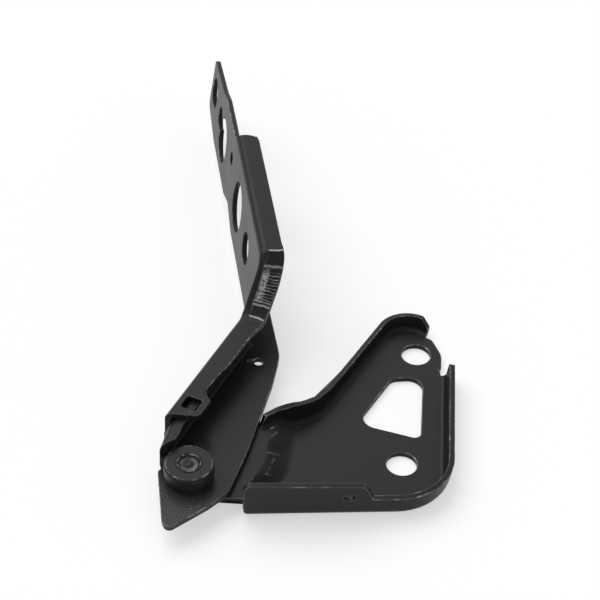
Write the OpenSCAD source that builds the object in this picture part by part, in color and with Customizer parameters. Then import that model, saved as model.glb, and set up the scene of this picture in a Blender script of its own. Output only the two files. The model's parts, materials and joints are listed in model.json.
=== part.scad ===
// Bonnet hinge: a body bracket, a two-layer swan-neck arm and a riveted pivot.
// Millimetres, +Z up along the pivot axis. The origin is midway between the two
// body bolt holes, on the bracket's mounting face. +Y runs along the bolt holes.

/* [Body bracket] */
// distance between the two body bolt holes
bolt_pitch = 66; // [50:1:80]
// diameter of the body bolt holes
bolt_hole_d = 12.6; // [9:0.2:15]
// thickness of the bracket sheet
bracket_t = 2.5; // [2:0.25:3.5]
// inside radius of the bracket's bends
bracket_bend_r = 2; // [1.5:0.25:3]
// outward lean of the bracket's flanges
flange_lean = 7; // [0:0.5:12]
// height of the side flange above the mounting face
side_flange_h = 11; // [9:0.5:16]
// angle of the side flange to the line of the bolts
side_angle = 3.9; // [0:0.1:8]
// distance of the side bend line from the line of the bolts
side_offset = 13.1; // [12:0.1:18]
// angle of the front flange to the cross line
front_angle = 11.5; // [8:0.5:15]
// distance of the front bend line from the middle of the bolts
front_offset = 54.6; // [53:0.1:60]
// radius of the bend line round the front corner
corner_r = 19; // [8:1:20]
// height of the tall tab on the front flange
front_tab_h = 19.4; // [16:0.2:21]
// height that the tall tab gains towards the pivot
front_tab_gain = 1.2; // [0:0.2:3]
// height of the diagonal flange above the mounting face
diagonal_flange_h = 9.4; // [8:0.1:12]
// extra height of that flange beside the pad
diagonal_gain = 3; // [1.5:0.1:4]
// radius of the ear round the rear bolt hole
ear_r = 11; // [10:0.5:14]
// rise of the pivot pad above the mounting plate
pad_rise = 5; // [4:0.25:6]
// depth of the dents that stiffen the step up to the pad
dent_depth = 1.3; // [0.5:0.1:1.8]
// diameter of the hole in the front tab
tab_pin_hole_d = 4.6; // [3:0.2:6]
// radius of the lug round the pivot
lug_r = 12.5; // [11:0.5:14]

/* [Pivot] */
// distance of the pivot to the left of the line of the bolts
pivot_left = 82; // [76:0.5:90]
// distance of the pivot in front of the middle of the bolts
pivot_front = 62.7; // [58:0.5:68]
// diameter of the rivet's bearing shank
shank_d = 10; // [8:0.5:12]
// diameter of the rivet's neck inside the collar
neck_d = 8; // [6:0.5:9]
// diameter of the rivet's rear head
rear_head_d = 17; // [14:0.5:20]
// diameter of the peened end of the rivet
peen_d = 10.6; // [9.6:0.2:12]
// wall thickness of the bush in the arm
bush_wall = 1.5; // [1:0.25:2]
// diameter of the thrust washer between pad and arm
thrust_washer_d = 24; // [20:0.5:26]
// thickness of the thrust washer between pad and arm
thrust_washer_t = 0.9; // [0.6:0.1:1.2]
// depth of the washer's seat in the pad
washer_seat = 0.6; // [0.3:0.1:0.8]
// diameter of the washer under the collar
top_washer_d = 18.6; // [16:0.2:20]
// thickness of the washer under the collar
top_washer_t = 2.2; // [1.2:0.1:2.6]
// diameter of the collar
collar_d = 20; // [18:0.5:22]
// height of the collar
collar_h = 5.7; // [4.5:0.1:6.2]

/* [Pivot arm] */
// thickness of the pivot arm sheet
arm_t = 2.5; // [2:0.25:3]
// height of the arm's channel, web underside to strip top
arm_h = 14.8; // [13.5:0.1:16]
// outside radius of the bend from web to wall
arm_foot_r = 4; // [3.6:0.2:6]
// outside radius of the bend from wall to inner strip
arm_fold_r = 3.5; // [3:0.1:4.5]
// diameter of the small keyhole in the web
keyhole_d = 4.2; // [3:0.2:6]
// length of the wall past the square-holed tab
arm_tail = 14.5; // [12:0.5:16]
// reach of the inner strip from the outer face of the arm
inner_reach = 8.6; // [7.6:0.2:9.4]

/* [Bonnet arm] */
// thickness of the bonnet arm sheet
bonnet_t = 2.5; // [2:0.25:3]
// outside radius of the bend from wall to strip
fold_r = 3.3; // [3:0.1:5]
// reach of the strip from the outer face of the arm
strip_reach = 10; // [9:0.5:13]
// swelling of the strip at the swan neck
neck_swell = 1.3; // [0:0.1:2]
// width of the bonnet plate from its lower edge to the band
plate_w = 40.3; // [36:0.5:46]
// length of the lower arm, tab end to swan neck corner
lower_len = 75.7; // [66:0.5:84]
// distance from the swan neck's corner to the near bonnet bolt hole
first_hole = 35.6; // [34:0.2:42]
// distance from the far bonnet bolt hole to the plate's free end
end_margin = 11; // [9.5:0.5:16]
// direction of the lower arm in plan
lower_angle = 72.6; // [68:0.2:76]
// turn of the swan neck in plan
neck_turn = 33.9; // [28:0.2:38]
// radius of the swan neck on its outer face
neck_r = 25; // [18:1:40]
// lean of the bonnet plate towards the bracket
plate_lean = 7.2; // [4:0.2:9]
// diameter of the two bonnet bolt holes
bonnet_hole_d = 15; // [11:0.5:16]
// distance between the two bonnet bolt holes
bonnet_pitch = 122.6; // [112:0.2:134]
// side of the square hole in the tab
tab_hole = 6.8; // [5:0.2:7.4]

/* [Fits] */
// radial running clearance of the bush on the shank
run_gap = 0.05; // [0.02:0.01:0.1]
// axial clearance at each face of the turning arm
thrust_gap = 0.1; // [0.05:0.05:0.3]
// radial gap of the fixed fits on the rivet and in the arm
fixed_gap = 0.02; // [0:0.01:0.05]
// gap between the two welded layers of the arm
layer_gap = 0.1; // [0.05:0.05:0.3]

/* [Hidden] */
steel_black = [0.16, 0.16, 0.17];
steel_zinc = [0.55, 0.55, 0.54];
$fn = 64;

// levels up the pivot
pad_top = pad_rise + bracket_t;
thrust_washer_z = pad_top - washer_seat;
web_z = thrust_washer_z + thrust_washer_t + thrust_gap;
web_top = web_z + arm_t;
top_washer_z = web_top + thrust_gap;
collar_z = top_washer_z + top_washer_t;
collar_top = collar_z + collar_h;
pivot = [-pivot_left, -pivot_front];
bush_d = shank_d + 2 * run_gap + 2 * bush_wall;

// plan of the two-layer arm: its outer face starts at the tab end
lower_dir = [cos(lower_angle), sin(lower_angle)];
lower_in = [sin(lower_angle), -cos(lower_angle)];
plate_angle = lower_angle + neck_turn;
plate_dir = [cos(plate_angle), sin(plate_angle)];
plate_in = [sin(plate_angle), -cos(plate_angle)];
tab_end = pivot + 12.9 * lower_dir - 18.4 * lower_in;
neck = tab_end + lower_len * lower_dir;
plate_len = first_hole + bonnet_pitch + end_margin;
neck_cut = neck_r * tan(neck_turn / 2);
neck_start = lower_len - neck_cut;
neck_arc = neck_r * neck_turn * PI / 180;
climb_start = neck_start - 2.5;
climb_end = neck_start + neck_arc + 1;
inner_out = bonnet_t + layer_gap;
lower_fold_h = arm_h + layer_gap + bonnet_t;

// position of a point of the lower arm given along it and in from its outer face
function arm_at(along, reach) = tab_end + along * lower_dir + reach * lower_in;
// position at web level given along the bonnet plate and in from its outer face
function plate_at(along, reach) = neck + along * plate_dir + reach * plate_in;

function unit(v) = v / norm(v);
function side_line(y) = side_offset - y * tan(side_angle);
function front_line(x) = -front_offset + x * tan(front_angle);
function wave(u) = (1 - cos(180 * min(1, max(0, u)))) / 2;

// arc that rounds the corner b between a and c
function corner(a, b, c, r, step) =
    let (u = unit(a - b))
    let (v = unit(c - b))
    let (half = acos(max(-1, min(1, u * v))) / 2)
    let (centre = b + unit(u + v) * r / sin(half))
    let (from = b + u * r / tan(half) - centre)
    let (cross_uv = u[0] * v[1] - u[1] * v[0])
    let (turn = (180 - 2 * half) * (cross_uv > 0 ? -1 : 1))
    let (steps = max(2, ceil(abs(turn) / step)))
    [for (i = [0:steps])
        let (a = atan2(from[1], from[0]) + turn * i / steps)
        centre + r * [cos(a), sin(a)]];

function plain(p) = [p[0], p[1]];
// corner of an outline at a point, with its radius
function at(p, r) = [p[0], p[1], r];
function rounded_corner(a, b, c, step) =
    b[2] > 0 ? corner(plain(a), plain(b), plain(c), b[2], step) : [plain(b)];

// closed outline from [x, y, radius] corners
function rounded(c) =
    let (n = len(c))
    [for (i = [0:n - 1]) each rounded_corner(c[(i + n - 1) % n], c[i], c[(i + 1) % n], 11)];

// open path from [x, y, radius] corners, a little rounder than an outline's
function rounded_path(path) =
    let (n = len(path))
    let (c = [for (p = path) [p[0], p[1], len(p) > 2 ? p[2] * 1.04 : 0]])
    [plain(c[0]),
     for (i = [1:n - 2]) each rounded_corner(c[i - 1], c[i], c[i + 1], 8),
     plain(c[n - 1])];

// the same path with no step longer than the given one
function stepped(path, step) =
    [for (i = [0:len(path) - 2])
        let (n = max(1, ceil(norm(path[i + 1] - path[i]) / step)))
        for (k = [0:n - 1]) path[i] + (path[i + 1] - path[i]) * k / n,
     path[len(path) - 1]];

// unit normal on the right of an open path at point i
function path_normal(path, i) =
    let (a = path[max(0, i - 1)])
    let (b = path[min(len(path) - 1, i + 1)])
    let (d = unit(b - a))
    [d[1], -d[0]];

// solid through sections that all have the same number of points in a ring
module loft(sections) {
    n = len(sections[0]);
    m = len(sections);
    half = n / 2;
    points = [for (s = sections) for (p = s) p];
    sides = [for (j = [0:m - 2]) for (i = [0:n - 1])
        let (a = j * n + i)
        let (b = j * n + (i + 1) % n)
        each [[a, b, b + n], [a, b + n, a + n]]];
    ends = [for (i = [0:half - 2])
        let (o = n - 1 - i)
        each [[i, o, i + 1], [i + 1, o, o - 1]]];
    last = (m - 1) * n;
    far_ends = [for (f = ends) [last + f[0], last + f[2], last + f[1]]];
    polyhedron(points = points, faces = concat(sides, ends, far_ends), convexity = 10);
}

// profile of a flange turned up beside its bend line, outward reach then height
// its foot lies just inside the plate's two faces, and its wall leans outwards
function flange_ring(h) =
    let (inset = 0.06)
    let (from = 0.3)
    let (r = bracket_bend_r + inset)
    let (out_r = bracket_bend_r + bracket_t - inset)
    let (z = bracket_t + bracket_bend_r)
    let (bend = 90 - flange_lean)
    let (wall = (h - z + r * cos(bend)) / sin(bend))
    let (rise = wall * [cos(bend), sin(bend)])
    concat([[-1, inset], [from, inset]],
           [for (i = [1:6]) [from + out_r * sin(bend * i / 6), z - out_r * cos(bend * i / 6)]],
           [[from + out_r * sin(bend), z - out_r * cos(bend)] + rise,
            [from + r * sin(bend), z - r * cos(bend)] + rise],
           [for (i = [6:-1:1]) [from + r * sin(bend * i / 6), z - r * cos(bend * i / 6)]],
           [[from, bracket_t - inset], [-1, bracket_t - inset]]);

module body_bracket() {
    // the joggle from plate to pad: its foot runs out towards the front flange
    function foot_x(y) = -44 - 8.5 * wave((-45 - y) / 21);
    function foot_len(y) = 11 - 4 * wave((-45 - y) / 21);
    function rise(x, y) = pad_rise * wave((foot_x(y) - x) / foot_len(y));
    dents = [-38, -57];
    function dent(y) = max([for (d = dents) exp(-pow((y - d) / 2.2, 2))]);
    rows = concat([-80, -70, -66, -63],
        [for (i = [-3:3]) dents[1] + i * 1.5], [-50, -46],
        [for (i = [-3:3]) dents[0] + i * 1.5], [-31, -20, 60]);
    columns = [-1, 0, 0.1, 0.2, 0.3, 0.4, 0.5, 0.6, 0.7, 0.8, 0.9, 1, 2];
    function sheet_x(u, y) = u < 0 ? 30 : u > 1 ? -110 : foot_x(y) - u * foot_len(y);
    function sheet_z(u, y) =
        pad_rise * wave(u) - dent_depth * dent(y) * sin(180 * min(1, max(0, u) * max(0, u)));
    function sheet_ring(y) =
        concat([for (u = columns) [sheet_x(u, y), y, sheet_z(u, y) + bracket_t]],
               [for (i = [len(columns) - 1:-1:0])
                   [sheet_x(columns[i], y), y, sheet_z(columns[i], y)]]);

    // bend lines of the two flanges
    front_end = -60;
    corner_x = (side_offset + front_offset * tan(side_angle))
        / (1 + tan(side_angle) * tan(front_angle));
    front_corner = [corner_x, front_line(corner_x), corner_r];
    side_top = 22.5;
    tab_start = front_end + 3.5;
    outer_path = concat(
        [for (k = [0:4]) let (x = front_end + 0.7 * k) [x, front_line(x)]],
        stepped(rounded_path([[tab_start, front_line(tab_start)], front_corner,
            [side_line(side_top - 0.5), side_top - 0.5]]), 2));
    rear = bolt_pitch / 2;
    diagonal = [[3.4, rear + 12], [-9, rear + 16.7, 9], [-34.6, -14.4, 8],
                [-51, -24, 9], [-54.9, -28]];
    diagonal_path = stepped(rounded_path(concat(
        [diagonal[0] + 0.04 * (plain(diagonal[1]) - diagonal[0])],
        [for (i = [1:4]) diagonal[i]])), 3);

    // height of the diagonal flange, which climbs less than the pad it stands beside
    function diagonal_top(x) = diagonal_flange_h + diagonal_gain * wave((-22 - x) / 30);
    diagonal_heights = [for (i = [0:len(diagonal_path) - 1])
        let (q = diagonal_path[i] + 4 * path_normal(diagonal_path, i))
        diagonal_top(diagonal_path[i][0]) - rise(q[0], q[1])];

    // height of the outer flange: low at the side, tall on the front tab
    function tab_top(x) = front_tab_h + front_tab_gain * (-14 - x) / 44;
    tab_round = 3;
    function tab_end_drop(x) =
        let (d = max(0, front_end + tab_round - x))
        tab_round - sqrt(max(0, tab_round * tab_round - d * d));
    function tab_height(x) =
        side_flange_h + (tab_top(x) - side_flange_h) * wave((-10 - x) / 3.4) - tab_end_drop(x);
    function side_end_drop(y) = y > 19.5 ? 3 - sqrt(max(0, 9 - pow(y - 19.5, 2))) : 0;
    function outer_height(p) =
        p[1] < -45 && p[0] < 0 ? tab_height(p[0]) : side_flange_h - side_end_drop(p[1]);

    // rings of a flange along its bend line, its outside on the right
    function flange_sections(path, heights, lifted) =
        [for (i = [0:len(path) - 1])
            let (n = path_normal(path, i))
            [for (q = flange_ring(heights[i]))
                let (x = path[i][0] + n[0] * q[0])
                let (y = path[i][1] + n[1] * q[0])
                [x, y, q[1] + (lifted ? rise(x, y) : 0)]]];

    plate_outline = rounded([
        [side_line(side_top), side_top, 0], [side_line(24), 24, 0], [10, 25.6, 1.4],
        [11.6, 27.4, 1.2], [ear_r, rear + 2, 0.8 * ear_r], [6.2, rear + 10.9, 3],
        [3.4, rear + 12, 0], diagonal[1], diagonal[2], diagonal[3],
        [-55.5, -28.65, 0.3], [-60.3, -23.9, 0.5], [-62.4, -25.2, 1], at(pivot + [-lug_r, lug_r + 1], lug_r),
        at(pivot + [-lug_r, -lug_r - 1], lug_r),
        [-66, -68.6, 5], [-58, -67.5, 1], [-51, front_line(-51), 0], front_corner]);

    color(steel_black)
    difference() {
        union() {
            intersection() {
                translate([0, 0, -1]) linear_extrude(30) polygon(plate_outline);
                loft([for (y = rows) sheet_ring(y)]);
            }
            difference() {
                loft(flange_sections(outer_path,
                    [for (p = outer_path) outer_height(p)], false));
                // the tab's pivot end runs on past its bend with a relief behind it
                translate([-51, front_line(-51), -1])
                    rotate(front_angle)
                    translate([-14.4, -0.5, 0]) cube([14, 7, 9]);
                // rounded lower corner of the tab and its hole
                translate([front_end, front_line(front_end), 0])
                    rotate(front_angle) rotate([90, 0, 0]) translate([0, 0, -4]) linear_extrude(14)
                    polygon(concat([[-1, -1], [3, -1]], [for (a = [270:-18:180]) [3, 3] + 3.2 * [cos(a), sin(a)]]));
                translate([-19.3, front_line(-19.3), front_tab_h - 7])
                    rotate(front_angle) rotate([90, 0, 0])
                    translate([0, 0, -4]) cylinder(d = tab_pin_hole_d, h = 14);
            }
            loft(flange_sections(diagonal_path, diagonal_heights, true));
        }
        for (s = [-1, 1])
            translate([0, s * bolt_pitch / 2, -1]) cylinder(d = bolt_hole_d, h = bracket_t + 2);
        translate([pivot[0], pivot[1], pad_rise - 1])
            cylinder(d = shank_d + 2 * fixed_gap, h = bracket_t + 2);
        translate([0, 0, -1]) linear_extrude(bracket_t + 2)
            polygon(rounded([[-20.8, -13.4, 6], [-8.9, 16.1, 5], [4.3, 19.6, 6], [6.5, -17.6, 3]]));
        // seat of the thrust washer
        translate([pivot[0], pivot[1], thrust_washer_z])
            cylinder(d = thrust_washer_d + 0.4, h = washer_seat + 2);
    }
}

module pivot_arm() {
    inset = 0.06;
    wall_t = arm_t - 2 * inset;
    top = arm_h;
    fold_at = [arm_fold_r, top - arm_fold_r];
    bend_r = arm_foot_r - 0.3;
    bend_at = [bend_r, inset + bend_r];
    strip = inner_reach - inner_out;
    function around(c, r, a) = c + r * [cos(a), sin(a)];
    // channel section, reach in from the wall's outer face then height above the web's underside
    channel = concat(
        [[strip, top]],
        [for (a = [90:15:180]) around(fold_at, arm_fold_r, a)],
        [for (a = [180:15:270]) around(bend_at, bend_r, a)],
        [[arm_foot_r + 1, inset], [arm_foot_r + 1, arm_t - inset]],
        [for (a = [270:-15:180]) around(bend_at, bend_r - wall_t, a)],
        [for (a = [180:-15:90]) around(fold_at, arm_fold_r - wall_t, a)],
        [[strip, top - wall_t]]);
    // plan of the wall's outer face: straight under the outer layer, then round the pivot
    wall_end = arm_at(neck_start - 1.3, inner_out);
    wall_bend = arm_at(-1, inner_out);
    tail = pivot + [-12.4, arm_tail - 11.5];
    tail_dir = unit(wall_bend - tail);
    tail_in = [tail_dir[1], -tail_dir[0]];
    wall_path = stepped(rounded_path([tail, at(wall_bend, 12), wall_end]), 12);
    function channel_at(i) =
        let (n = path_normal(wall_path, i))
        [for (q = channel)
            [wall_path[i][0] + n[0] * q[0], wall_path[i][1] + n[1] * q[0], web_z + q[1]]];
    web_bend = wall_bend + arm_foot_r * (tail_in + lower_in) / (1 + tail_in * lower_in);
    plate_gap = bonnet_t + 0.8;
    foot_end = 27;
    web_neck = neck + plate_gap * (lower_in + tan(neck_turn / 2) * lower_dir);
    web = rounded([
        at(pivot + [-3.2, -28.2], 2.5), at(pivot + [10.2, -13.8], 18), at(pivot + [16.9, -4.9], 5),
        at(pivot + [20.6, 18], 60), at(pivot + [24.4, 58], 60), at(pivot + [24.8, 75.5], 20),
        at(plate_at(foot_end, 10.2), 5), at(plate_at(foot_end, plate_gap), 1),
        at(web_neck, neck_r), at(arm_at(neck_start, plate_gap), 0),
        at(arm_at(neck_start, inner_out + arm_foot_r), 0), at(web_bend, 14),
        at(tail + arm_foot_r * tail_in - 0.7 * tail_dir, 0),
        at(tail - 0.6 * tail_in - 0.7 * tail_dir, 1.5), at(pivot + [-6, -24], 8)]);

    color(steel_black)
    difference() {
        union() {
            translate([0, 0, web_z]) linear_extrude(arm_t) polygon(web);
            loft([for (i = [0:len(wall_path) - 1]) channel_at(i)]);
        }
        translate([pivot[0], pivot[1], web_z - 1])
            cylinder(d = bush_d + 2 * fixed_gap, h = arm_t + 2);
        // the inner strip narrows to a point beside the collar
        translate([0, 0, web_top + 5]) linear_extrude(arm_h)
            polygon(rounded([at(pivot + [-3, 21], 0), at(pivot + [-6.8, 7.6], 3),
                             at(pivot + [-16, 0.2], 0), at(pivot + [-16, -10], 0),
                             at(pivot + [4, -10], 0), at(pivot + [4, 21], 0)]));
        // small keyhole beside the swan neck
        translate([pivot[0] + 16.4, pivot[1] + 70.2, web_z - 1]) {
            cylinder(d = keyhole_d, h = arm_t + 2);
            translate([-keyhole_d / 2 - 2.4, -0.6, 0]) cube([3.2, 1, arm_t + 2]);
        }
    }
}

module bonnet_arm() {
    // height of the fold above the lower edge, along the path of the arm
    // the climb starts and ends at a plain bend and is steepest half way
    function climb(u) = (min(1, max(0, u)) + wave(u)) / 2;
    function fold_h(l) = lower_fold_h
        + (plate_w - lower_fold_h) * climb((l - climb_start) / (climb_end - climb_start));
    function slope_at(l) = atan((fold_h(l + 0.5) - fold_h(l - 0.5)));
    function lean_at(l) = plate_lean * wave((l - neck_start) / (climb_end - neck_start));
    // the strip swells round the outside of the swan neck
    function strip_at(l) = strip_reach
        + neck_swell * wave((l - climb_start + 8) / 12) * (1 - wave((l - climb_end + 9) / 14));
    function turn_at(l) = neck_turn * min(1, max(0, (l - neck_start) / neck_arc));
    neck_centre = arm_at(neck_start, -neck_r);
    function path_at(l) =
        l <= neck_start ? arm_at(l, 0)
        : l >= neck_start + neck_arc ? plate_at(l - neck_start - neck_arc + neck_cut, 0)
        : neck_centre + neck_r * [sin(lower_angle + turn_at(l)), -cos(lower_angle + turn_at(l))];
    path_len = neck_start + neck_arc + plate_len - neck_cut;
    climb_steps = 20;
    stations = concat([0],
        [for (i = [-4:-1]) climb_start + 2 * i],
        [for (i = [0:climb_steps]) climb_start + (climb_end - climb_start) * i / climb_steps],
        [for (i = [1:6]) climb_end + 2 * i],
        [path_len]);
    // section of wall and strip, reach from the outer face then height up the wall
    function ring(l) =
        let (w = fold_h(l))
        let (t = bonnet_t)
        let (tv = min(bonnet_t / cos(slope_at(l)), fold_r - 0.1))
        concat([[t, 0]],
               [for (a = [0:10:90])
                   [fold_r - (fold_r - t) * cos(a), w - fold_r + (fold_r - tv) * sin(a)]],
               [[strip_at(l), w - tv], [strip_at(l), w]],
               [for (a = [90:-10:0]) [fold_r - fold_r * cos(a), w - fold_r + fold_r * sin(a)]],
               [[0, 0]]);
    function station(l) =
        let (p = path_at(l))
        let (a = lower_angle + turn_at(l))
        let (n = [sin(a), -cos(a)])
        let (lean = lean_at(l))
        [for (q = ring(l))
            let (reach = q[0] * cos(lean) + q[1] * sin(lean))
            let (up = q[1] * cos(lean) - q[0] * sin(lean))
            [p[0] + n[0] * reach, p[1] + n[1] * reach, web_z + up]];
    // moves a drawing of the plate, along then up, onto the plate and through it
    module on_plate() {
        translate([neck[0], neck[1], web_z])
            rotate(plate_angle) rotate([plate_lean, 0, 0])
            translate([0, 8, 0]) rotate([90, 0, 0]) children();
    }
    strip_z = web_z + lower_fold_h - bonnet_t;
    mid = 18.2;
    end = plate_len;
    // place along the plate as a share of the way from the near to the far bolt hole
    function share(k) = first_hole + k * bonnet_pitch;
    band_end = share(0.458);

    color(steel_black)
    difference() {
        union() {
            difference() {
                loft([for (l = stations) station(l)]);
                // the strip narrows towards its tab
                translate([0, 0, strip_z - 4]) linear_extrude(12)
                    polygon(rounded([at(arm_at(39, 10.3), 0), at(arm_at(30, 9), 12),
                                     at(arm_at(20, 8.7), 0), at(arm_at(-3, 8.7), 0),
                                     at(arm_at(-3, 16), 0), at(arm_at(39, 16), 0)]));
            }
            translate([0, 0, strip_z + 0.05]) linear_extrude(bonnet_t - 0.1)
                polygon(rounded([at(arm_at(23, 6.4), 0), at(arm_at(22, 8.3), 0),
                                 at(arm_at(18.2, 9.2), 5), at(arm_at(15.2, 13.2), 2),
                                 at(arm_at(5.2, 12.9), 2.4), at(arm_at(3.4, 6.4), 0)]));
        }
        // slanted end of the tab and its square hole
        translate([0, 0, strip_z - 8]) linear_extrude(20)
            polygon([arm_at(-0.5, -1), arm_at(0.3, -1), arm_at(2.5, 5.2), arm_at(4.5, 11.3),
                     arm_at(5.5, 16), arm_at(-3, 16), arm_at(-3, -1)]);
        translate([0, 0, strip_z - 4]) linear_extrude(12)
            polygon(rounded([
                at(arm_at(7, 3.6), 1), at(arm_at(7, 3.6 + tab_hole), 1),
                at(arm_at(7 + tab_hole, 3.6 + tab_hole), 1),
                at(arm_at(7 + tab_hole, 3.6), 1)]));
        // free upper edge past the band, free end and the shallow notch of the lower edge
        on_plate() translate([0, 0, -10]) linear_extrude(50)
            polygon(rounded([[band_end, 60, 0], [band_end, plate_w - 0.6, 1.5],
                             [band_end + 3.8, plate_w - 4.1, 3], [share(0.737), plate_w - 4.5, 14],
                             [share(0.827), plate_w - 7.3, 14], [end - 6, plate_w - 9.7, 0],
                             [end + 12, plate_w - 11.3, 0], [end + 12, 60, 0]]));
        on_plate() translate([0, 0, -10]) linear_extrude(50)
            polygon(rounded([[end, 40, 0], [end, 4.6, 4], [end - 7, 3, 12], [end - 29, -0.4, 0],
                             [end - 29, -9, 0], [end + 12, -9, 0], [end + 12, 40, 0]]));
        on_plate() translate([0, 0, -10]) linear_extrude(50)
            polygon(rounded([[share(0.533), -0.5, 0], [share(0.419), 4.2, 7], [share(0.264), -0.5, 0],
                             [share(0.362), -6, 0]]));
        // rounded corner of the band's end
        translate([neck[0], neck[1], web_z]) rotate(plate_angle) rotate([plate_lean, 0, 0])
            translate([band_end, -strip_reach, plate_w - 8]) linear_extrude(20)
            polygon(concat([[0.5, -0.5]], [for (a = [0:15:90]) [-4 + 4 * cos(-a), 4 + 4 * sin(-a)]]));
        // bolt holes and access holes of the bonnet plate
        on_plate() for (s = [0, bonnet_pitch])
            translate([first_hole + s, mid, -10]) cylinder(d = bonnet_hole_d, h = 30);
        on_plate() translate([share(0.249), mid - 0.5, -10]) cylinder(d = 23.6, h = 30);
        on_plate() translate([share(0.484), mid + 5.9, -10]) cylinder(d = 6.5, h = 30);
        on_plate() translate([share(0.703), mid - 2.9, -10]) cylinder(d = 22, h = 30);
        on_plate() translate([share(0.814), mid + 0.5, -10]) cylinder(d = 11.4, h = 30);
    }
}

module pivot_rivet() {
    seat = collar_top - 0.9;
    rim = collar_top + 0.2;
    round_r = 0.4;
    color(steel_zinc)
    translate([pivot[0], pivot[1], 0]) rotate_extrude()
        polygon(concat(
            [[0, 0.6], [rear_head_d / 2 - 1.2, 0.6], [rear_head_d / 2, 1.8],
             [rear_head_d / 2, pad_rise], [shank_d / 2, pad_rise], [shank_d / 2, collar_z],
             [neck_d / 2, collar_z], [neck_d / 2, seat], [peen_d / 2, seat]],
            [for (a = [0:30:90])
                [peen_d / 2 - round_r + round_r * cos(a), rim - round_r + round_r * sin(a)]],
            [[peen_d / 2 - 0.9, rim - 0.1], [peen_d / 2 - 1.7, rim - 1], [1.9, rim - 1],
             [1.4, rim - 0.5], [0, rim - 0.4]]));
}

module pivot_bush() {
    color(steel_zinc)
    translate([pivot[0], pivot[1], web_z]) difference() {
        cylinder(d = bush_d, h = arm_t);
        translate([0, 0, -1]) cylinder(d = shank_d + 2 * run_gap, h = arm_t + 2);
    }
}

module thrust_washer() {
    color(steel_zinc)
    translate([pivot[0], pivot[1], thrust_washer_z]) difference() {
        cylinder(d = thrust_washer_d, h = thrust_washer_t);
        translate([0, 0, -1]) cylinder(d = shank_d + 2 * fixed_gap, h = thrust_washer_t + 2);
    }
}

module top_washer() {
    color(steel_black)
    translate([pivot[0], pivot[1], top_washer_z]) difference() {
        cylinder(d = top_washer_d, h = top_washer_t);
        translate([0, 0, -1]) cylinder(d = shank_d + 2 * fixed_gap, h = top_washer_t + 2);
    }
}

module pivot_collar() {
    bore = neck_d / 2 + fixed_gap;
    rim = 1.1;
    dish_r = peen_d / 2 + fixed_gap;
    color(steel_black)
    translate([pivot[0], pivot[1], collar_z]) rotate_extrude()
        polygon(concat(
            [[bore, 0], [collar_d / 2 - 0.4, 0], [collar_d / 2, 0.4]],
            [for (a = [0:15:90])
                [collar_d / 2 - rim + rim * cos(a), collar_h - rim + rim * sin(a)]],
            [[dish_r + 0.15, collar_h], [dish_r, collar_h - 0.15], [dish_r, collar_h - 0.9],
             [bore, collar_h - 0.9]]));
}

body_bracket();
pivot_arm();
bonnet_arm();
pivot_rivet();
pivot_bush();
thrust_washer();
top_washer();
pivot_collar();
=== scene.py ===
import json
import math

import bpy
from mathutils import Matrix, Vector
from mathutils.bvhtree import BVHTree


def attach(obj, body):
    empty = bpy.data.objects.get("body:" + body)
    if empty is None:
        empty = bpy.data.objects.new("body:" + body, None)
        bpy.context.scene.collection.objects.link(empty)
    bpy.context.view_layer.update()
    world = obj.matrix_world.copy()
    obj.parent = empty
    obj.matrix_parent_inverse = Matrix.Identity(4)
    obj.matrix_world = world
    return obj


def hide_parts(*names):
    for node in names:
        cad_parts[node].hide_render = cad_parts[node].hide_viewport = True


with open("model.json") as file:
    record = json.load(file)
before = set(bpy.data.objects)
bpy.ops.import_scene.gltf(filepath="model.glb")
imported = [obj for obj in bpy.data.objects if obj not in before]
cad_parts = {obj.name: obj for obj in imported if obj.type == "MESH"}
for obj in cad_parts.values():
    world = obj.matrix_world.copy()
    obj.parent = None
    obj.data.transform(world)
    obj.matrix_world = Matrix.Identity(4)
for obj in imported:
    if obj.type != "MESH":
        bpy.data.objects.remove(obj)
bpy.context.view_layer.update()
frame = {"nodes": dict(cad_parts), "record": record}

# The view: the hinge lies with its mounting face on a pale studio table and is
# seen from above its front, a little to the right, through a long lens.
scene = bpy.context.scene
scene.view_settings.view_transform = "Standard"
camera_place = (0.001836, -0.494678, 0.488163)
camera_right = Vector((0.989096, 0.140328, 0.044691))
camera_up = Vector((-0.125751, 0.646781, 0.752237))
camera_back = Vector((0.076654, -0.749655, 0.657375))
camera_data = bpy.data.cameras.new("camera")
camera_data.sensor_width = 36.0
camera_data.lens = 98.4
camera = bpy.data.objects.new("camera", camera_data)
camera_turn = Matrix((camera_right, camera_up, camera_back)).transposed().to_4x4()
camera.matrix_world = Matrix.Translation(camera_place) @ camera_turn
scene.collection.objects.link(camera)
scene.camera = camera

# The table and its light: a seamless white board in an even pale room, with one
# wide diffused light high on the left, a low one behind and a weak one in front.
board_size = 40.0
board_colour = (0.95, 0.95, 0.95, 1)
board_glow = 0.55
room_strength = 0.42


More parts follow.
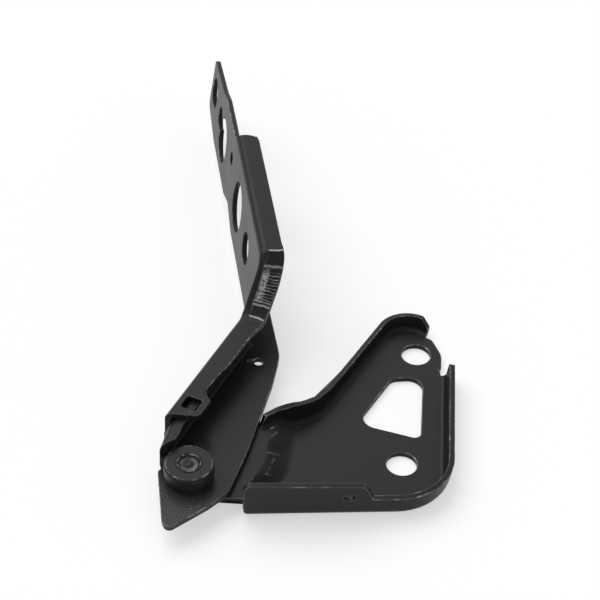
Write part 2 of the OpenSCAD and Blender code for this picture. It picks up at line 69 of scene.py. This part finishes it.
class Tone:
    # one value, colour or place on its way through the nodes of a finish
    def __init__(self, tree, socket=None):
        self.tree = tree
        self.socket = socket

    def node(self, kind, settings, sockets, output=0):
        made = self.tree.nodes.new(kind)
        for name, value in settings.items():
            setattr(made, name, value)
        for key, value in sockets.items():
            if isinstance(value, Tone):
                value.feed(made.inputs[key])
            else:
                made.inputs[key].default_value = value
        return Tone(self.tree, made.outputs[output])

    def feed(self, socket):
        self.tree.links.new(self.socket, socket)

    def beside(self, output):
        # another output of the same node
        return Tone(self.tree, self.socket.node.outputs[output])

    def maths(self, operation, first, second=0.0):
        return self.node("ShaderNodeMath", {"operation": operation}, {0: first, 1: second})

    def __add__(self, other):
        return self.maths("ADD", self, other)

    def __radd__(self, other):
        return self.maths("ADD", other, self)

    def __sub__(self, other):
        return self.maths("SUBTRACT", self, other)

    def __rsub__(self, other):
        return self.maths("SUBTRACT", other, self)

    def __mul__(self, other):
        return self.maths("MULTIPLY", self, other)

    def __rmul__(self, other):
        return self.maths("MULTIPLY", other, self)

    def ramp(self, low, high):
        # 0 below low, 1 above high, smooth between
        return self.node("ShaderNodeMapRange", {"interpolation_type": "SMOOTHSTEP"},
                         {"Value": self, "From Min": low, "From Max": high})

    def between(self, rise, full, fade, end):
        # 1 from full to fade, 0 before rise and after end
        return self.ramp(rise, full) * (1 - self.ramp(fade, end))

    def line(self, spot, wide):
        # 1 where the value passes a spot, 0 from wide away on
        return 1 - self.maths("ABSOLUTE", self - spot).ramp(0.0, wide)

    def split(self):
        x = self.node("ShaderNodeSeparateXYZ", {}, {"Vector": self})
        return x, x.beside("Y"), x.beside("Z")

    def noise(self, scale, detail, stretch=(1, 1, 1), turn=0.0):
        laid = self.node("ShaderNodeMapping", {}, {
            "Vector": self, "Rotation": (0, 0, turn), "Scale": stretch})
        return self.node("ShaderNodeTexNoise", {}, {
            "Vector": laid, "Scale": scale, "Detail": detail})

    def tint(self, amount, plain, other):
        return self.node("ShaderNodeMix", {"data_type": "RGBA"},
                         {0: amount, 6: plain, 7: other}, 2)


bpy.ops.object.select_all(action="DESELECT")
bpy.ops.mesh.primitive_plane_add(size=board_size, location=(0, 0, 0))
floor = bpy.context.object
floor.name = "floor"
board_white = bpy.data.materials.new("board_white")
board_white.use_nodes = True
board_nodes = board_white.node_tree.nodes
board = board_nodes["Principled BSDF"]
board.inputs["Base Color"].default_value = board_colour
board.inputs["Roughness"].default_value = 0.9
looked_at = Tone(board_white.node_tree).node("ShaderNodeLightPath", {}, {}, "Is Camera Ray")
mirrored = looked_at.beside("Is Glossy Ray")
seen_through = looked_at.beside("Is Transmission Ray")
in_view = looked_at.maths("MAXIMUM", looked_at.maths("MAXIMUM", looked_at, mirrored), seen_through)
paled = looked_at.node("ShaderNodeMixShader", {}, {
    0: in_view * board_glow,
    1: Tone(board_white.node_tree, board.outputs[0]),
    2: looked_at.node("ShaderNodeEmission", {}, {})})
paled.feed(board_nodes["Material Output"].inputs["Surface"])
floor.data.materials.append(board_white)

room = bpy.data.worlds.new("studio_room")
scene.world = room
room.use_nodes = True
room.node_tree.nodes["Background"].inputs["Color"].default_value = (1, 1, 1, 1)
room.node_tree.nodes["Background"].inputs["Strength"].default_value = room_strength


def wide_light(name, towards, spread, strength):
    lamp = bpy.data.lights.new(name, "SUN")
    lamp.angle = math.radians(spread)
    lamp.energy = strength
    light = bpy.data.objects.new(name, lamp)
    light.rotation_euler = Vector(towards).to_track_quat("-Z", "Y").to_euler()
    scene.collection.objects.link(light)


wide_light("back_light", (0.60, -0.36, -1.0), 60, 2.0)
wide_light("window_light", (0.08, -0.75, -0.66), 46, 0.42)
wide_light("front_light", (-0.5, 0.6, -0.8), 60, 0.15)

# Body bracket: one blanked and pressed steel sheet with turned-up flanges, a
# joggled pivot pad and two bolt holes, dipped in black primer and baked.
coat_black = (0.0145, 0.0145, 0.0145, 1)
edge_black = (0.03, 0.03, 0.031, 1)
dust_grey = (0.16, 0.155, 0.148, 1)
# pale steel grey for worn bare steel, dust and painted highlights
wear_and_highlight_steel = (0.46, 0.452, 0.436, 1)
coat_gloss = 0.15
sheet_edge_r = 0.00035
to_mm = 1000


def new_finish(name):
    finish = bpy.data.materials.new(name)
    finish.use_nodes = True
    shader = finish.node_tree.nodes["Principled BSDF"]
    place = Tone(finish.node_tree).node("ShaderNodeTexCoord", {}, {}, "Object")
    return finish, shader, place


def black_primer(name, dusty, marks_and_highlights=None):
    finish, shader, place = new_finish(name)
    cloud = place.noise(38, 4)
    peel = place.noise(620, 2)
    grit = place.noise(2300, 1).ramp(0.66, 0.75) * place.noise(21, 2).ramp(0.46, 0.68)
    rub = place.noise(260, 3, (1, 7, 1), 0.5).ramp(0.66, 0.78) * place.noise(30, 2).ramp(0.5, 0.7)
    pale = grit * dusty + rub * 0.14
    colour = place.tint(pale, coat_black, dust_grey)
    height = peel + cloud * 0.8
    # the marks tint the coat towards bare steel: painted highlights on the joggle, the swan neck and the
    # pivot rings, real dust at the web's tip
    if marks_and_highlights:
        rubs_and_highlights = marks_and_highlights(place)
        colour = place.tint(rubs_and_highlights, colour, wear_and_highlight_steel)
        height = height + rubs_and_highlights * 1.5
        (rubs_and_highlights * 0.6).feed(shader.inputs["Metallic"])
    colour.feed(shader.inputs["Base Color"])
    (cloud * 0.16 + 0.27 + pale * 0.3).feed(shader.inputs["Roughness"])
    relief = place.node("ShaderNodeBump", {}, {
        "Strength": 0.22, "Distance": 0.00012, "Height": height})
    relief.feed(shader.inputs["Normal"])
    shader.inputs["Specular IOR Level"].default_value = coat_gloss
    return finish


def worn_and_highlit_edge(name, wear_and_sheen):
    # bare steel on the cut edges: worn paint, strong enough that it also paints the highlight lines along
    # the edges
    finish, shader, place = new_finish(name)
    bare_and_highlit = place.noise(330, 3).ramp(0.44, 0.70) * place.noise(34, 2).ramp(0.36, 0.62) * wear_and_sheen
    place.tint(bare_and_highlit, edge_black, wear_and_highlight_steel).feed(shader.inputs["Base Color"])
    (bare_and_highlit * 0.7).feed(shader.inputs["Metallic"])
    (0.36 + place.noise(90, 2) * 0.12).feed(shader.inputs["Roughness"])
    return finish


def stroke(place, start, end, wide):
    # a soft mark along a line on the sheet, places in millimetres
    fade = 0.6
    run = Vector(end) - Vector(start)
    way = run.normalized()
    x, y, z = place.split()
    x = x * to_mm - start[0]
    y = y * to_mm - start[1]
    along = x * way.x + y * way.y
    across = x * -way.y + y * way.x
    return across.line(0.0, wide) * along.between(-fade, fade, run.length - fade, run.length + fade)


def joggle_crease_highlights(place):
    # painted highlights along the creases where the pad's joggle was drawn, with a matching bump: start,
    # end, width, brightness
    creases = (((-50.9, -42.8), (-52.7, -52.0), 0.7, 0.16),
               ((-54.2, -41.2), (-49.6, -38.7), 0.8, 0.20),
               ((-53.8, -52.5), (-50.8, -51.0), 0.6, 0.12),
               ((-54.1, -32.6), (-51.7, -28.1), 0.9, 0.14))
    marks = sum(stroke(place, start, end, wide) * bright for start, end, wide, bright in creases)
    return marks * place.noise(380, 2).ramp(0.3, 0.6)


sheet_black = black_primer("sheet_black", 0.35, joggle_crease_highlights)
sheet_edge = worn_and_highlit_edge("sheet_edge", 0.75)


def cut_edges(mesh):
    # marks the cut edges of a pressing: sharp, with a real wall on both sides
    sharp = math.radians(38)
    thinnest_wall = 0.0007
    beside = {}
    for face in mesh.polygons:
        for key in face.edge_keys:
            beside.setdefault(key, []).append(face)
    weight = mesh.attributes.new("bevel_weight_edge", "FLOAT", "EDGE")
    for edge in mesh.edges:
        faces = beside.get(edge.key, [])
        if len(faces) != 2:
            continue
        start, end = (mesh.vertices[index].co for index in edge.vertices)
        length = max((start - end).length, 1e-9)
        wall = min(2 * face.area / length for face in faces)
        if faces[0].normal.angle(faces[1].normal, 0) > sharp and wall > thinnest_wall:
            weight.data[edge.index].value = 1.0


def pressed_copy(node_name, piece_name, body, finish, edge_finish, edge_r, reshape=None):
    # a copy of the solid with its cut edges eased, as a tumbled pressing has them
    merge_gap = 0.000002
    flat_angle = math.radians(0.4)
    smooth_angle = math.radians(50)
    furthest_off = 0.0002
    bpy.ops.object.select_all(action="DESELECT")
    piece = bpy.data.objects.new(piece_name, frame["nodes"][node_name].data.copy())
    scene.collection.objects.link(piece)
    bpy.context.view_layer.objects.active = piece
    piece.select_set(True)
    piece.data.materials.clear()
    piece.data.materials.append(finish)
    piece.data.materials.append(edge_finish)
    bpy.ops.object.mode_set(mode="EDIT")
    bpy.ops.mesh.select_all(action="SELECT")
    bpy.ops.mesh.remove_doubles(threshold=merge_gap)
    bpy.ops.mesh.dissolve_limited(angle_limit=flat_angle)
    bpy.ops.object.mode_set(mode="OBJECT")
    if reshape:
        for vertex in piece.data.vertices:
            reshape(vertex)
    for face in piece.data.polygons:
        face.material_index = 0
    cut_edges(piece.data)
    corners = [vertex.co.copy() for vertex in piece.data.vertices]
    skin = BVHTree.FromPolygons(corners, [tuple(face.vertices) for face in piece.data.polygons])
    eased = piece.modifiers.new("eased_edges", "BEVEL")
    eased.width = edge_r
    eased.segments = 2
    eased.limit_method = "WEIGHT"
    eased.use_clamp_overlap = False
    eased.loop_slide = True
    eased.material = 1
    bpy.ops.object.modifier_apply(modifier="eased_edges")
    # a corner that the bevel threw off the sheet goes back on to it
    for vertex in piece.data.vertices:
        on_skin, normal, index, off = skin.find_nearest(vertex.co)
        if off > furthest_off:
            vertex.co = on_skin
    bpy.ops.object.shade_smooth_by_angle(angle=smooth_angle)
    even = piece.modifiers.new("even_shading", "WEIGHTED_NORMAL")
    even.keep_sharp = True
    bpy.ops.object.modifier_apply(modifier="even_shading")
    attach(piece, body)
    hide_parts(node_name)
    return piece


def limited(value, low=0.0, high=1.0):
    return min(high, max(low, value))


def level_way(degrees):
    # a direction along the table, by its angle from +X
    return Vector((math.cos(math.radians(degrees)), math.sin(math.radians(degrees))))


def round_off(radius, short):
    # how far a round of this radius has fallen away, short of its end
    return radius - math.sqrt(radius ** 2 - limited(short, 0.0, radius) ** 2)


def round_tab(vertex):
    # the lower corner at the free end of the front tab
    corner = Vector((-0.05990, -0.06730))
    way = level_way(11.5)
    outward = Vector((way.y, -way.x))
    tab_bend = 0.0001
    radius = 0.0042
    round_top = 0.0052
    past = vertex.co.xy - corner
    if past.dot(outward) > tab_bend and vertex.co.z < round_top:
        inset = round_off(radius, round_top - vertex.co.z)
        vertex.co.xy += way * max(0.0, inset - past.dot(way))


def round_ear(vertex):
    # the upper corner at the free end of the flange round the ear
    end = Vector((0.00335, 0.04636))
    way = Vector((0.933, -0.359))
    down_wall = Vector((-0.0447, -0.1146, -1.0))
    radius = 0.0046
    behind = 0.001
    ear_y = 0.046
    wall_foot = 0.0085
    short = (end - vertex.co.xy).dot(way)
    if -behind < short < radius and vertex.co.y > ear_y and vertex.co.z > wall_foot:
        vertex.co += down_wall * round_off(radius, radius - short)


def sweep_corner(vertex):
    # the rear flange bends round its corner in a long sweep
    corner = Vector((-0.03895, -0.01058))
    way = level_way(48.5)
    side = Vector((-way.y, way.x))
    reach = 0.009
    skew = 0.943
    sweep_r = 0.046
    outside = 0.002
    full_in = 0.005
    past = vertex.co.xy - corner
    away = abs(past.dot(way)) / skew
    inward = -past.dot(side)
    if away < reach and -outside < inward < reach:
        share = 1 - limited((inward - full_in) / (reach - full_in))
        vertex.co.xy += side * ((reach - away) ** 2 / sweep_r * share)


def run_out_foot(vertex):
    # the rear flange's end tapers down on to the pad, just short of the arm's web
    way = Vector((-0.70, -0.714))
    end_line = 0.05843
    left, right = -0.0587, -0.0553
    pad_top = 0.00745
    wall_top = 0.0124
    taper_h = 0.0049
    longest = 0.0040
    web_side = -0.05945
    seat = 0.00755
    x, height = vertex.co.x, vertex.co.z
    at_end = abs(vertex.co.xy.dot(way) - end_line) < 0.0002 and left < x < right
    if at_end and height > pad_top:
        stretch = longest * max(0.0, wall_top - height) / taper_h
        vertex.co.xy += way * min(stretch, (web_side - x) / way.x)
        vertex.co.z = max(height, seat)


def ease_flanges(vertex):
    round_tab(vertex)
    round_ear(vertex)
    sweep_corner(vertex)
    run_out_foot(vertex)


bracket_sheet = pressed_copy(
    "body_bracket", "bracket_sheet", "bracket",
    sheet_black, sheet_edge, sheet_edge_r, ease_flanges)

# Thrust washer: a thin low-friction ring that lies in the seat of the pad, under
# the arm, and carries it as it turns.
liner_brown = (0.05, 0.047, 0.042, 1)
liner_fleck = (0.13, 0.115, 0.095, 1)
liner_edge_r = 0.00008


def dark_liner(name):
    finish, shader, place = new_finish(name)
    fleck = place.noise(1500, 2).ramp(0.45, 0.7)
    place.tint(fleck, liner_brown, liner_fleck).feed(shader.inputs["Base Color"])
    (0.52 + fleck * 0.2).feed(shader.inputs["Roughness"])
    return finish


liner = dark_liner("dark_liner")
washer_ring = pressed_copy(
    "thrust_washer", "washer_ring", "bracket", liner, liner, liner_edge_r)

# Pivot bush: a thin sleeve of the same liner, pressed into the arm and running
# on the rivet's shank.
bush_edge_r = 0.00006
bush_sleeve = pressed_copy(
    "pivot_bush", "bush_sleeve", "arm", liner, liner, bush_edge_r)

# Pivot arm: the inner pressing, a flat web round the pivot with one tall folded
# wall, coated with the outer layer after the two are welded.
web_tip = (-0.081, -0.0826, 0.0104)


def tip_dust(place):
    # pale grit rubbed into the coat round the web's pointed tip
    near = place.node("ShaderNodeVectorMath", {"operation": "DISTANCE"}, {0: place, 1: web_tip}, "Value")
    haze = (1 - near.ramp(0.002, 0.026)) * 0.045
    specks = (1 - near.ramp(0.002, 0.03)) * place.noise(1250, 3).ramp(0.6, 0.72) * 0.35
    return haze + specks


web_black = black_primer("web_black", 0.6, tip_dust)
inner_pressing = pressed_copy(
    "pivot_arm", "inner_pressing", "arm", web_black, sheet_edge, sheet_edge_r)

# Bonnet arm: the outer pressing, an upright plate with a folded strip that runs
# down the swan neck and over the inner one; painted highlights mark the neck's bends and slope.
arm_angle = 72.6
neck_turn = 33.9
arm_foot = Vector((-0.09570, -0.04489))
plate_foot = Vector((-0.07306, 0.02735))
bend_centre = Vector((-0.09920, 0.02755))
bend_start = 0.06808
bend_len = 0.01479
plate_start = 0.07525


def along_arm(spot):
    # length run along the arm, up the straight, round the neck and along the plate
    out = spot - bend_centre
    turned = math.degrees(math.atan2(out.x, -out.y)) - arm_angle
    if turned <= 0:
        return (spot - arm_foot).dot(level_way(arm_angle))
    if turned >= neck_turn:
        return plate_start + (spot - plate_foot).dot(level_way(arm_angle + neck_turn))
    return bend_start + bend_len * turned / neck_turn


def swell(share):
    return (1 - math.cos(math.pi * limited(share))) / 2


def flow_neck(vertex):
    # lets the strip flow into its climb at both ends, as drawn steel does
    climb = 0.0229
    climb_start, climb_len = 0.06558, 0.01829
    flow_start, flow_len = 0.06458, 0.02179
    wall_foot = 0.0079
    wall_h = 0.0174
    along = along_arm(vertex.co.xy)
    share = (along - climb_start) / climb_len
    made = (limited(share) + swell(share)) / 2
    flowing = swell((along - flow_start) / flow_len)
    lift = limited((vertex.co.z - wall_foot) / (wall_h + climb * made))
    vertex.co.z += climb * (flowing - made) * lift


def neck_highlights(place):
    # painted highlights on the swan neck: bright cross lines on its bends, rungs and a bright patch on its
    # slope and a line along the fold's ridge, only where the surface faces up; along runs up the strip and
    # reach across it, in millimetres
    x, y, z = place.split()
    x = x * to_mm
    y = y * to_mm
    along = y - (y - 28) * (x + 66.5) * 0.0293 + (place.noise(420, 3) - 0.5) * 0.9
    reach = x + 73.6 - (z * to_mm - 26) * 0.226
    cross_lines = ((38.3, 0.55, 0.8), (32.6, 0.6, 0.5), (22.4, 0.4, 0.6), (21.2, 0.5, 0.8), (16.6, 0.6, 0.8))
    lines = sum(along.line(spot, wide) * bright for spot, wide, bright in cross_lines)
    slope = along.between(21.5, 24.0, 29.5, 32.5)
    rungs = along.maths("SINE", along * 7.4).ramp(0.35, 0.95) * slope * reach.ramp(3.5, 5.0)
    rungs = rungs * place.noise(300, 2).ramp(0.36, 0.58) * 0.6
    patch = slope * reach.between(1.6, 3.0, 4.2, 5.6) * place.noise(900, 2).ramp(0.28, 0.6)
    ridge = reach.line(1.9, 0.4) * along.between(17.0, 20.0, 30.0, 38.0) * 0.3
    # breaks the painted highlights up into patches across the strip
    wear_and_sheen = reach.ramp(1.2, 2.4) * place.noise(240, 2).ramp(0.2, 0.45)
    # the painted highlights are kept to faces that point up towards the lights
    side_x, side_y, facing_up = place.beside("Normal").split()
    marks = (lines + rungs + patch + ridge) * wear_and_sheen * facing_up.ramp(0.2, 0.4)
    return marks.maths("MINIMUM", marks, 0.9)


arm_black = black_primer("arm_black", 0.3, neck_highlights)
outer_pressing = pressed_copy(
    "bonnet_arm", "outer_pressing", "arm",
    arm_black, sheet_edge, sheet_edge_r, flow_neck)

# Top washer: a turned steel spacer between the arm and the collar, coated with
# them once the pivot is riveted.
pivot = Vector(frame["record"]["behaviour"]["joints"][0]["pos_m"]) * to_mm
spacer_edge_r = 0.0002


def turned_lines_and_ring_highlights(place):
    # turning lines round the pivot, and rings of rubbed paint and painted highlight on the collar's rim and
    # in the rivet's crater
    level = place.node("ShaderNodeVectorMath", {"operation": "MULTIPLY"},
                       {0: place, 1: (to_mm, to_mm, 0)}, "Vector")
    out = place.node("ShaderNodeVectorMath", {"operation": "DISTANCE"},
                     {0: level, 1: (pivot.x, pivot.y, 0)}, "Value")
    turned = out.maths("SINE", out * 19).ramp(0.2, 1.0) * 0.012
    # rings of painted highlight with rubbed paint: the collar's rim, the crater's ring and the bright arcs
    # inside it
    rings = ((9.2, 0.35, 0.4), (4.5, 0.4, 0.5), (3.1, 0.5, 0.4), (2.3, 0.35, 0.25))
    rubs_and_highlights = sum(out.line(spot, wide) * bright for spot, wide, bright in rings)
    x, y, z = place.split()
    return turned + rubs_and_highlights * z.ramp(0.0150, 0.0165) * place.noise(420, 3).ramp(0.42, 0.64)


pin_black = black_primer("pin_black", 0.2, turned_lines_and_ring_highlights)
pin_edge = worn_and_highlit_edge("pin_edge", 0.9)
spacer_ring = pressed_copy(
    "top_washer", "spacer_ring", "bracket", pin_black, pin_edge, spacer_edge_r)

# Pivot collar: a turned steel ring with a rounded rim and a recess, which the
# rivet clamps down on the washer.
collar_edge_r = 0.0003
collar_ring = pressed_copy(
    "pivot_collar", "collar_ring", "bracket", pin_black, pin_edge, collar_edge_r)

# Pivot rivet: a shouldered steel pin, spun over at both ends so that the head
# fills the collar's recess with a raised ring round a shallow crater.
rivet_edge_r = 0.00022
rivet_pin = pressed_copy(
    "pivot_rivet", "rivet_pin", "bracket", pin_black, pin_edge, rivet_edge_r)
